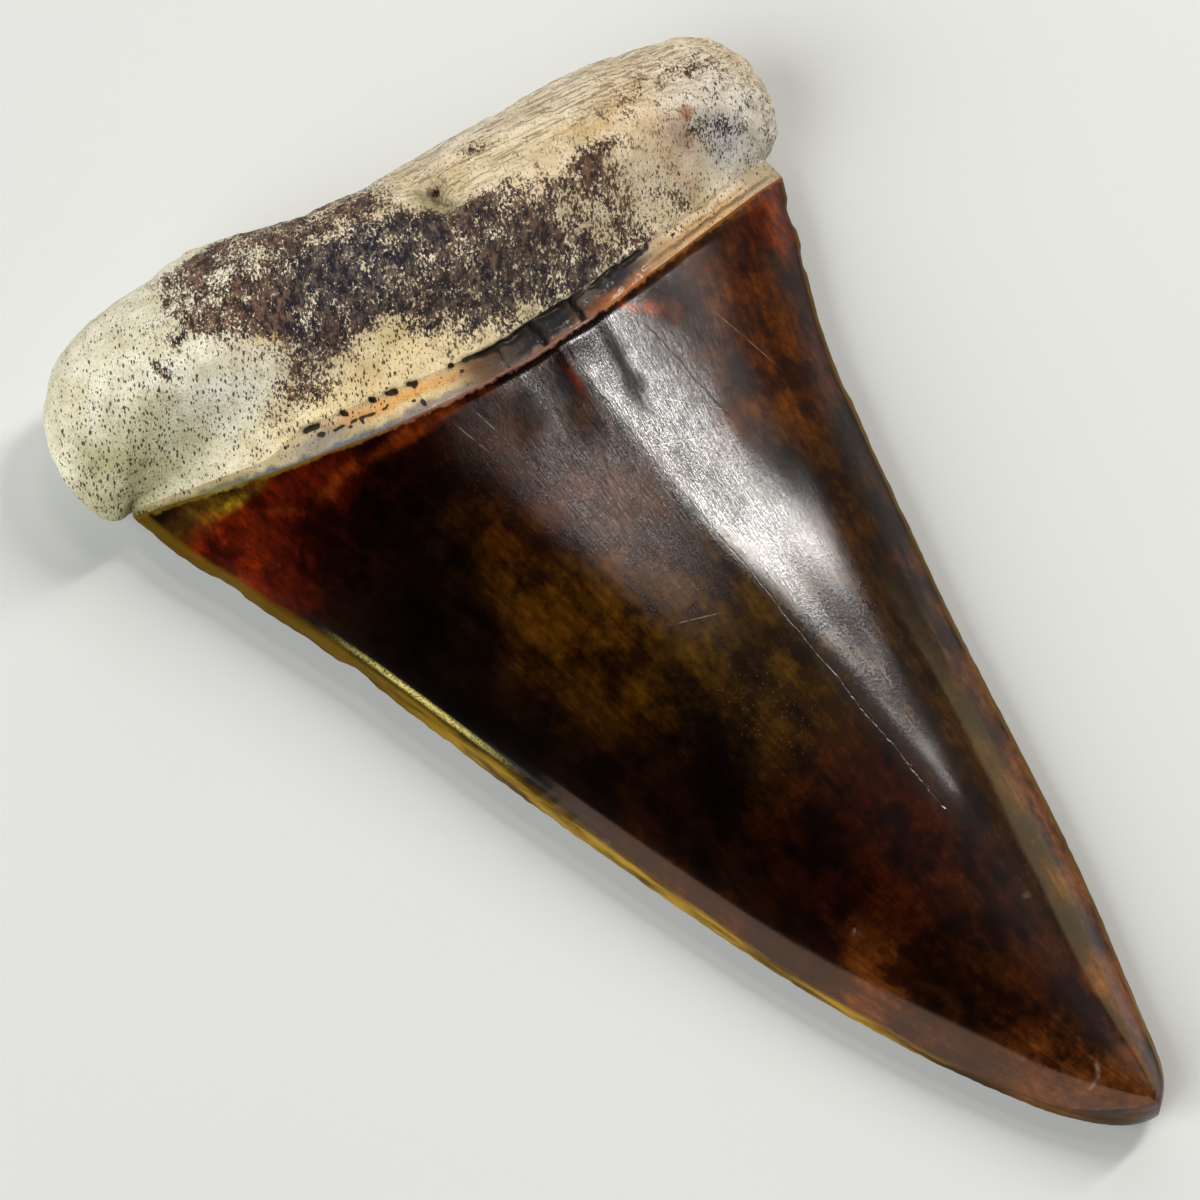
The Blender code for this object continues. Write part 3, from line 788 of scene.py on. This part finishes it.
class Nodes:
    """Short hand for building a material's nodes."""

    def __init__(self, name):
        self.material = bpy.data.materials.new(name)
        self.material.use_nodes = True
        self.tree = self.material.node_tree
        self.shader = self.tree.nodes["Principled BSDF"]
        self.place = self.add("TexCoord").outputs["Object"]

    def add(self, kind, sockets=(), **settings):
        node = self.tree.nodes.new("ShaderNode" + kind)
        for key, value in settings.items():
            setattr(node, key, value)
        for key, value in dict(sockets).items():
            self.put(node.inputs[key], value)
        return node

    def put(self, socket, value):
        if isinstance(value, bpy.types.NodeSocket):
            self.tree.links.new(value, socket)
        elif isinstance(value, tuple) and len(value) == 3 and socket.type == "RGBA":
            socket.default_value = (*value, 1)
        else:
            socket.default_value = value

    def finish(self, **sockets):
        for key, value in sockets.items():
            self.put(self.shader.inputs[key.replace("_", " ")], value)
        return self.material

    def value(self, name):
        return self.add("Attribute", attribute_name=name).outputs["Fac"]

    def vector(self, name):
        return self.add("Attribute", attribute_name=name).outputs["Vector"]

    def math(self, operation, a, b=0.0, c=0.0):
        return self.add("Math", {0: a, 1: b, 2: c}, operation=operation).outputs[0]

    def times(self, a, b):
        return self.math("MULTIPLY", a, b)

    def step(self, value, low, high, start=0.0, end=1.0):
        """An even S from start to end while the value goes from low to high."""
        return self.add("MapRange", {"Value": value, "From Min": low, "From Max": high, "To Min": start,
                                     "To Max": end}, interpolation_type="SMOOTHSTEP").outputs[0]

    def mix(self, share, a, b, blend="MIX"):
        node = self.add("Mix", {0: share}, data_type="RGBA", blend_type=blend)
        self.put(node.inputs[6], a)
        self.put(node.inputs[7], b)
        return node.outputs[2]

    def varied(self, share, colour, first, second=None):
        """The colour times the first tint where the share is 0, going over to the second tint, or to none."""
        low = self.mix(1.0, colour, first, "MULTIPLY")
        high = self.mix(1.0, colour, second, "MULTIPLY") if second else colour
        return self.mix(share, low, high)

    def turned(self, vector, angle):
        return self.add("VectorRotate", {"Vector": vector, "Angle": angle}, rotation_type="Z_AXIS").outputs[0]

    def scaled(self, vector, size):
        """The vector divided by a size in its own units, so that one turn of a texture is that long."""
        size = size if isinstance(size, tuple) else (size,) * 3
        return self.add("VectorMath", {0: vector, 1: size}, operation="DIVIDE").outputs[0]

    def noise(self, vector, size, detail=4.0, rough=0.6):
        return self.add("TexNoise", {"Vector": self.scaled(vector, size), "Scale": 1.0, "Detail": detail,
                                     "Roughness": rough}).outputs["Fac"]

    def cells(self, vector, size, feature="F1"):
        return self.add("TexVoronoi", {"Vector": self.scaled(vector, size), "Scale": 1.0}, feature=feature)

    def hairline(self, first, last, half_width):
        """1 along a straight line between two points of the drawing's plan, fading out at its ends."""
        first, last = (np.array(end) + SHIFT[:2] for end in (first, last))
        middle, run = (first + last) / 2, last - first
        away = self.add("VectorMath", {0: self.place, 1: (*(middle * MM), 0.0)}, operation="SUBTRACT").outputs[0]
        axes = self.add("SeparateXYZ", {0: self.turned(away, -np.arctan2(run[1], run[0]))})
        length, width = np.hypot(*run) * MM / 2, half_width * MM
        across = self.step(self.math("ABSOLUTE", axes.outputs["Y"]), width, width * 0.3)
        return self.times(across, self.step(self.math("ABSOLUTE", axes.outputs["X"]), length, length * 0.5))

    def bump(self, layers):
        """One normal out of (height, depth in metres) layers, each 0 to 1 high."""
        normal = None
        for level, depth in layers:
            node = self.add("Bump", {"Height": level, "Distance": depth, "Strength": 1.0})
            if normal is not None:
                self.put(node.inputs["Normal"], normal)
            normal = node.outputs["Normal"]
        return normal


def mm(*lengths):
    return tuple(length * MM for length in lengths)


def enamel_material():
    n = Nodes("enamel")
    grain, edge, worn = n.vector("grain"), n.value("edge"), n.value("worn")

    # The body's colour: mottled, streaked along the grain and clouded, with painted glints as fine pale dots in
    # one place.
    mottle = n.noise(n.place, mm(2.6, 3.2, 2.6), 8, 0.62)
    colour = n.varied(n.step(mottle, 0.38, 0.62), n.vector("tint"), (0.22, 0.15, 0.12), (1.25, 1.15, 1.0))
    streak = n.noise(grain, (0.5, 9.0, 3.0), 5, 0.7)
    colour = n.varied(n.step(streak, 0.35, 0.7), colour, (0.55, 0.48, 0.42))
    cloud = n.noise(n.place, mm(0.5, 0.7, 0.5), 5, 0.65)
    colour = n.varied(n.step(cloud, 0.35, 0.7), colour, (0.65, 0.6, 0.5), (1.35, 1.3, 1.2))
    # Painted glints: fine pale dots of colour over one place of the crown, where the enamel sparkles.
    dots = n.step(n.cells(n.place, mm(0.26, 0.32, 0.3)).outputs["Distance"], 0.2, 0.08)
    glinting = n.step(n.math("ADD", n.value("speck_glints"), n.noise(n.place, MM * 0.8, 2, 0.5)), 0.9, 1.3)
    colour = n.mix(n.times(n.times(dots, glinting), 0.3), colour, (0.16, 0.11, 0.03))

    # The thin edges, the lip at the neck with its pale painted highlight, and the painted line that glints along
    # the rim.
    wobble = n.math("MULTIPLY_ADD", n.noise(grain, (3.0, 1.6, 3.0), 5, 0.6), 0.36, -0.18)
    rim = n.step(n.math("ADD", n.math("DIVIDE", edge, n.value("rim")), wobble), 1.35, 0.6)
    amber = n.mix(n.step(n.noise(grain, (0.8, 5.0, 2.0), 6, 0.62), 0.36, 0.64), (0.05, 0.026, 0.001),
                  (0.34, 0.2, 0.018))
    amber = n.mix(n.value("rimtone"), (0.07, 0.038, 0.0025), amber)
    colour = n.mix(n.times(rim, n.times(n.value("rimshare"), 0.92)), colour, amber)
    ragged = n.noise(n.place, mm(0.5, 0.5, 0.5), 5, 0.65)
    lip = n.step(n.math("MULTIPLY_ADD", ragged, 0.7, n.value("neck")), 0.64, 0.42)
    # The lip's own tint, with a pale painted highlight along its middle and painted glints at its left corner.
    colour = n.mix(n.times(lip, 0.8), colour, n.vector("lip"))
    # A painted glint: a pale yellow highlight line of colour just inside the rim, broken by gaps.
    ribbon = n.step(n.math("ABSOLUTE", n.math("SUBTRACT", edge, 0.95)), 0.24, 0.02)
    gaps = n.step(n.noise(n.place, MM * 0.12, 4, 0.7), 0.36, 0.56)
    colour = n.mix(n.times(n.times(ribbon, n.value("glint")), gaps), colour, (0.66, 0.54, 0.16))

    # Two cracks, the bruise, the pale dots and the scratches.
    jitter = n.math("MULTIPLY_ADD", n.noise(grain, (2.0, 1.6, 2.0), 4, 0.6), 0.5, -0.25)
    crack = 0.0
    for line, outside, inside in (("crest", 0.06, 0.02), ("side", 0.05, 0.015)):
        away = n.math("ABSOLUTE", n.math("ADD", n.value(line), jitter))
        crack = n.math("MAXIMUM", crack, n.times(n.value(line + "share"), n.step(away, outside, inside)))
    colour = n.mix(n.times(crack, 0.7), colour, (0.003, 0.002, 0.001))
    hair = n.times(n.value("mark"), 0.6)
    for first, last in SCRATCHES:
        hair = n.math("MAXIMUM", hair, n.hairline(first, last, 0.035))
    broken = n.step(n.noise(n.place, MM * 0.7, 3, 0.6), 0.36, 0.56)
    colour = n.mix(n.times(n.times(hair, broken), 0.42), colour, (0.4, 0.33, 0.24))

    # The gloss: dulled where fine scratches have worn it, and on the margins and the thin edges.
    scratches = n.noise(grain, (0.07, 1.1, 0.4), 4, 0.7)
    sparkle = n.noise(n.place, mm(0.07, 0.16, 0.12), 3, 0.65)
    dull = n.times(n.step(scratches, 0.32, 0.64), n.step(sparkle, 0.28, 0.66))
    coat = n.math("SUBTRACT", 1.0, n.times(n.math("SUBTRACT", 0.88, n.times(dull, 0.88)), worn))
    coat = n.times(coat, n.math("SUBTRACT", 1.0, n.math("MAXIMUM", n.value("matte"), n.times(rim, 0.6))))
    fine = n.bump([(n.times(sparkle, worn), 0.007 * MM), (n.times(scratches, worn), 0.005 * MM),
                   (crack, -0.01 * MM)])
    return n.finish(Base_Color=colour, Roughness=0.4, IOR=1.5, Specular_IOR_Level=0.04, Coat_Weight=coat,
                    Coat_Roughness=0.06, Coat_IOR=1.55, Normal=fine, Coat_Normal=fine)


def bone_material():
    n = Nodes("bone")
    turned = n.turned(n.place, PORE_SLANT)
    band, stain = n.value("band"), n.value("stain")

    # The plain bone and the band, clouded, chalky, specked and, on the worn lobe, fibrous.
    broad = n.noise(n.place, MM * 2.0, 5, 0.6)
    chalk = n.noise(turned, mm(0.13, 0.2, 0.16), 4, 0.7)
    speck = n.noise(turned, mm(0.2, 0.34, 0.26), 5, 0.7)
    colour = n.mix(n.step(n.math("MULTIPLY_ADD", broad, 0.5, band), 0.65, 0.85), n.vector("tint"),
                   n.vector("bandtint"))
    colour = n.varied(n.step(broad, 0.3, 0.7), colour, (0.86, 0.8, 0.7), (1.12, 1.12, 1.15))
    colour = n.varied(n.step(chalk, 0.34, 0.46), colour, (0.58, 0.52, 0.38))
    colour = n.mix(n.times(n.step(speck, 0.4, 0.35), 0.85), colour, (0.15, 0.11, 0.06))
    lines = n.times(n.step(n.noise(n.place, mm(3.0, 0.2, 0.2), 4, 0.65), 0.47, 0.38), n.value("fibre"))
    colour = n.mix(n.times(lines, 0.6), colour, (0.36, 0.25, 0.16))

    # The stain covers what lies above a threshold of two noises.
    fleck = n.noise(turned, mm(0.14, 0.26, 0.2), 7, 0.74)
    blot = n.noise(n.place, mm(1.1, 1.3, 1.1), 5, 0.62)
    cover = n.math("MULTIPLY_ADD", stain, 1.14, n.math("MULTIPLY_ADD", fleck, 4.2, -2.1))
    cover = n.math("ADD", cover, n.math("MULTIPLY_ADD", blot, 2.1, -1.05))
    dark = n.step(cover, 0.6, 0.8)
    tone = n.noise(turned, mm(0.35, 0.8, 0.5), 8, 0.78)
    brown = n.mix(n.step(tone, 0.42, 0.6), (0.014, 0.006, 0.007), (0.21, 0.11, 0.062))
    black = n.mix(n.step(tone, 0.46, 0.64), (0.006, 0.008, 0.018), (0.15, 0.12, 0.095))
    brown = n.mix(n.step(stain, 0.25, 0.65), (0.2, 0.125, 0.075), brown)
    colour = n.mix(dark, colour, n.mix(n.value("black"), brown, black))

    # Pores in three sizes of cell, each cell with a chance of its own, and the cuts of the band.
    pore = 0.0
    for size, nudge in ((mm(0.25, 0.56, 0.56), 0.0), (mm(0.3, 0.66, 0.7), 0.31), (mm(0.18, 0.38, 0.4), 0.57)):
        place = n.add("VectorMath", {0: turned, 1: (nudge, nudge, nudge)}).outputs[0]
        near = n.cells(place, size)
        chance = n.add("SeparateColor", {0: near.outputs["Color"]}).outputs[0]
        wide = n.step(n.math("MULTIPLY_ADD", chance, 0.9, n.value("pores")), 0.7, 1.25, 0.0, 0.21)
        pore = n.math("MAXIMUM", pore, n.step(n.math("SUBTRACT", wide, near.outputs["Distance"]), -0.02, 0.04))
    colour = n.mix(n.times(pore, 0.88), colour, (0.045, 0.036, 0.022))
    colour = n.mix(n.times(n.step(n.value("cut"), 0.3, 0.5), 0.94), colour, (0.016, 0.011, 0.008))

    gloss = n.times(n.value("gloss"), band)
    roughness = n.math("SUBTRACT", n.math("MULTIPLY_ADD", gloss, -0.25, 0.8), n.times(dark, 0.2))
    normal = n.bump([(chalk, 0.12 * MM), (fleck, 0.14 * MM), (n.noise(n.place, MM * 0.09, 3, 0.7), 0.03 * MM),
                     (pore, -0.12 * MM), (lines, -0.12 * MM)])
    return n.finish(Base_Color=colour, Roughness=roughness, Specular_IOR_Level=0.35,
                    Coat_Weight=n.times(gloss, 0.25), Coat_Roughness=0.18, Normal=normal)


def floor_material():
    n = Nodes("floor")
    soft = n.noise(n.place, 0.05, 3, 0.5)
    colour = n.mix(soft, (0.55, 0.56, 0.54), (0.575, 0.585, 0.565))
    return n.finish(Base_Color=colour, Roughness=1.0, Specular_IOR_Level=0.0)


# ---- pieces ----

def flat(data):
    data = np.asarray(data)
    return data.reshape(-1, *data.shape[2:])


def make_crown():
    blocks = [(crown_grid(CROWN_COLUMNS, True), True), (crown_grid(UNDER_COLUMNS, False), False)]
    points, faces, values, necks = [], [], [], []
    start = 0
    for (s, v, grid), top in blocks:
        rows, columns = s.shape
        faces.append(grid_faces(rows, columns, start))
        necks.append(np.arange(columns) + start)
        points.append(flat(grid))
        values.append({key: flat(data) for key, data in crown_values(s, v, grid, top).items()})
        start += rows * columns
    faces.append(bridge(*necks))
    merged = {key: np.concatenate([block[key] for block in values]) for key in values[0]}
    return welded("crown", np.concatenate(points) + SHIFT, np.concatenate(faces), merged, enamel_material())


# A plug closes the root towards the crown and reaches this far into it.
PLUG_REACH = 1.2


def make_root():
    grid = root_grid()
    points = grid["points"]
    rows, columns = points.shape[:2]
    plug = 0.5 * (points[0] + points[-1])
    plug[:, 1] -= PLUG_REACH * section(DOME, grid["s"][0])
    everything = np.concatenate([flat(points), plug])
    first, last, middle = (np.arange(columns) + row * columns for row in (0, rows - 1, rows))
    faces = np.concatenate([grid_faces(rows, columns), bridge(first, middle), bridge(last, middle)])
    values = {key: np.concatenate([flat(data), data[0]]) for key, data in root_values(grid).items()}
    return welded("root", everything + SHIFT, faces, values, bone_material())


for piece in (make_crown(), make_root()):
    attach(piece, "root")
    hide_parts("tooth")

# ---- stage, light and camera ----

FLOOR_SIZE = 8.0
# The lights point at this place, over the middle of the tooth.
LIGHT_AIM = (0.004, 0.012, 0.006)
# How bright the surroundings are, from the horizon and below it (0) to straight overhead (1).
SKY = [(0.0, (0.1, 0.11, 0.105)), (0.08, (0.045, 0.05, 0.047)), (0.25, (0.02, 0.022, 0.02)),
       (0.5, (0.006, 0.006, 0.006)), (1.0, (0.004, 0.004, 0.004))]

bpy.ops.mesh.primitive_plane_add(size=FLOOR_SIZE, location=(0, 0, LOW.z))
floor = bpy.context.object
floor.name = "floor"
floor.data.materials.append(floor_material())


def panel(name, size, radiance, colour):
    """A rectangular light that the camera doesn't see."""
    data = bpy.data.lights.new(name, "AREA")
    data.shape = "RECTANGLE"
    data.size, data.size_y = size
    data.energy = radiance * 4 * np.pi * size[0] * size[1]
    data.color = colour
    light = bpy.data.objects.new(name, data)
    light.visible_camera = False
    bpy.context.scene.collection.objects.link(light)
    return light


def area_light(name, toward, distance, size, radiance, colour, glossy=True):
    """A panel in the direction `toward` from the tooth, facing it, with its second side nearest upright."""
    light = panel(name, size, radiance, colour)
    back = Vector(toward).normalized()
    light.location = Vector(LIGHT_AIM) + back * distance
    light.rotation_euler = back.to_track_quat("Z", "Y").to_euler()
    light.visible_glossy = glossy
    return light


def direction(rise, turn):
    """Unit vector at that rise above the floor, turned from +X towards +Y, both in degrees."""
    rise, turn = np.radians(rise), np.radians(turn)
    return Vector((np.cos(rise) * np.cos(turn), np.cos(rise) * np.sin(turn), np.sin(rise)))


def strip(name, first, last, distance, width, radiance, colour):
    """A long narrow light that spans the sky from one (rise, turn) to the other, as seen from the tooth."""
    first, last = direction(*first) * distance, direction(*last) * distance
    light = area_light(name, (first + last) / 2, distance, (width, (first - last).length), radiance, colour)
    back, up = ((first + last) / 2).normalized(), (first - last).normalized()
    light.rotation_euler = Matrix((up.cross(back), up, back)).transposed().to_euler()


def card(name, first, last, tall, radiance, colour):
    """A glowing card that stands on the floor from one plan point to the other, facing the tooth."""
    first, last, up = Vector((*first, 0)) * MM, Vector((*last, 0)) * MM, Vector((0, 0, 1))
    light = panel(name, ((last - first).length, tall * MM), radiance, colour)
    light.location = (first + last) / 2 + up * tall * MM / 2
    side = (last - first).normalized()
    light.rotation_euler = Matrix((side, up, side.cross(up))).transposed().to_euler()
    light.visible_diffuse = False


strip("key", (61, 22.6), (27.2, 9.8), 0.45, 0.034, 14.0, (1.0, 0.97, 0.93))
area_light("sheen", (0.18, 0.18, 0.97), 0.45, (0.08, 0.08), 2.6, (1.0, 0.84, 0.78))
area_light("back_fill", (0.45, 0.75, 0.6), 0.8, (0.6, 0.5), 0.5, (0.97, 0.98, 1.0), glossy=False)
area_light("left_fill", (-0.8, -0.1, 0.6), 0.8, (0.7, 0.7), 1.4, (0.97, 0.99, 1.0), glossy=False)
card("card_left", (-420, -90), (-60, -82), 100, 0.37, (1.0, 0.64, 0.46))
card("card_front", (-60, -82), (20, -61), 100, 0.37, (1.0, 0.64, 0.46))
card("card_right", (105, -38), (455, 68), 100, 0.3, (1.0, 0.8, 0.45))

world = bpy.data.worlds.new("studio")
bpy.context.scene.world = world
world.use_nodes = True
tree = world.node_tree
sky = tree.nodes.new("ShaderNodeTexCoord").outputs["Generated"]
axes = tree.nodes.new("ShaderNodeSeparateXYZ")
ramp = tree.nodes.new("ShaderNodeValToRGB")
tree.links.new(sky, axes.inputs[0])
tree.links.new(axes.outputs["Z"], ramp.inputs[0])
tree.links.new(ramp.outputs[0], tree.nodes["Background"].inputs["Color"])
stops = ramp.color_ramp.elements
for place, _ in SKY[1:-1]:
    stops.new(place)
for stop, (_, tone) in zip(stops, SKY):
    stop.color = (*tone, 1)

bpy.context.scene.view_settings.view_transform = "Standard"

# The camera looks down on the tooth at the photograph's angle.
CAMERA_TARGET = Vector((-1.064, 5.029, 5.0)) * MM
CAMERA_TURN = -30.155
CAMERA_RISE = 68.0
CAMERA_DISTANCE = 260 * MM
CAMERA_LENS = 143.1
CAMERA_SENSOR = 36
CAMERA_CLIP = 10 * MM
camera_data = bpy.data.cameras.new("camera")
camera_data.lens = CAMERA_LENS
camera_data.sensor_width = CAMERA_SENSOR
camera_data.clip_start = CAMERA_CLIP
camera = bpy.data.objects.new("camera", camera_data)
back = direction(CAMERA_RISE, CAMERA_TURN - 90)
camera.location = CAMERA_TARGET + back * CAMERA_DISTANCE
camera.rotation_euler = back.to_track_quat("Z", "Y").to_euler()
bpy.context.scene.collection.objects.link(camera)
bpy.context.scene.camera = camera
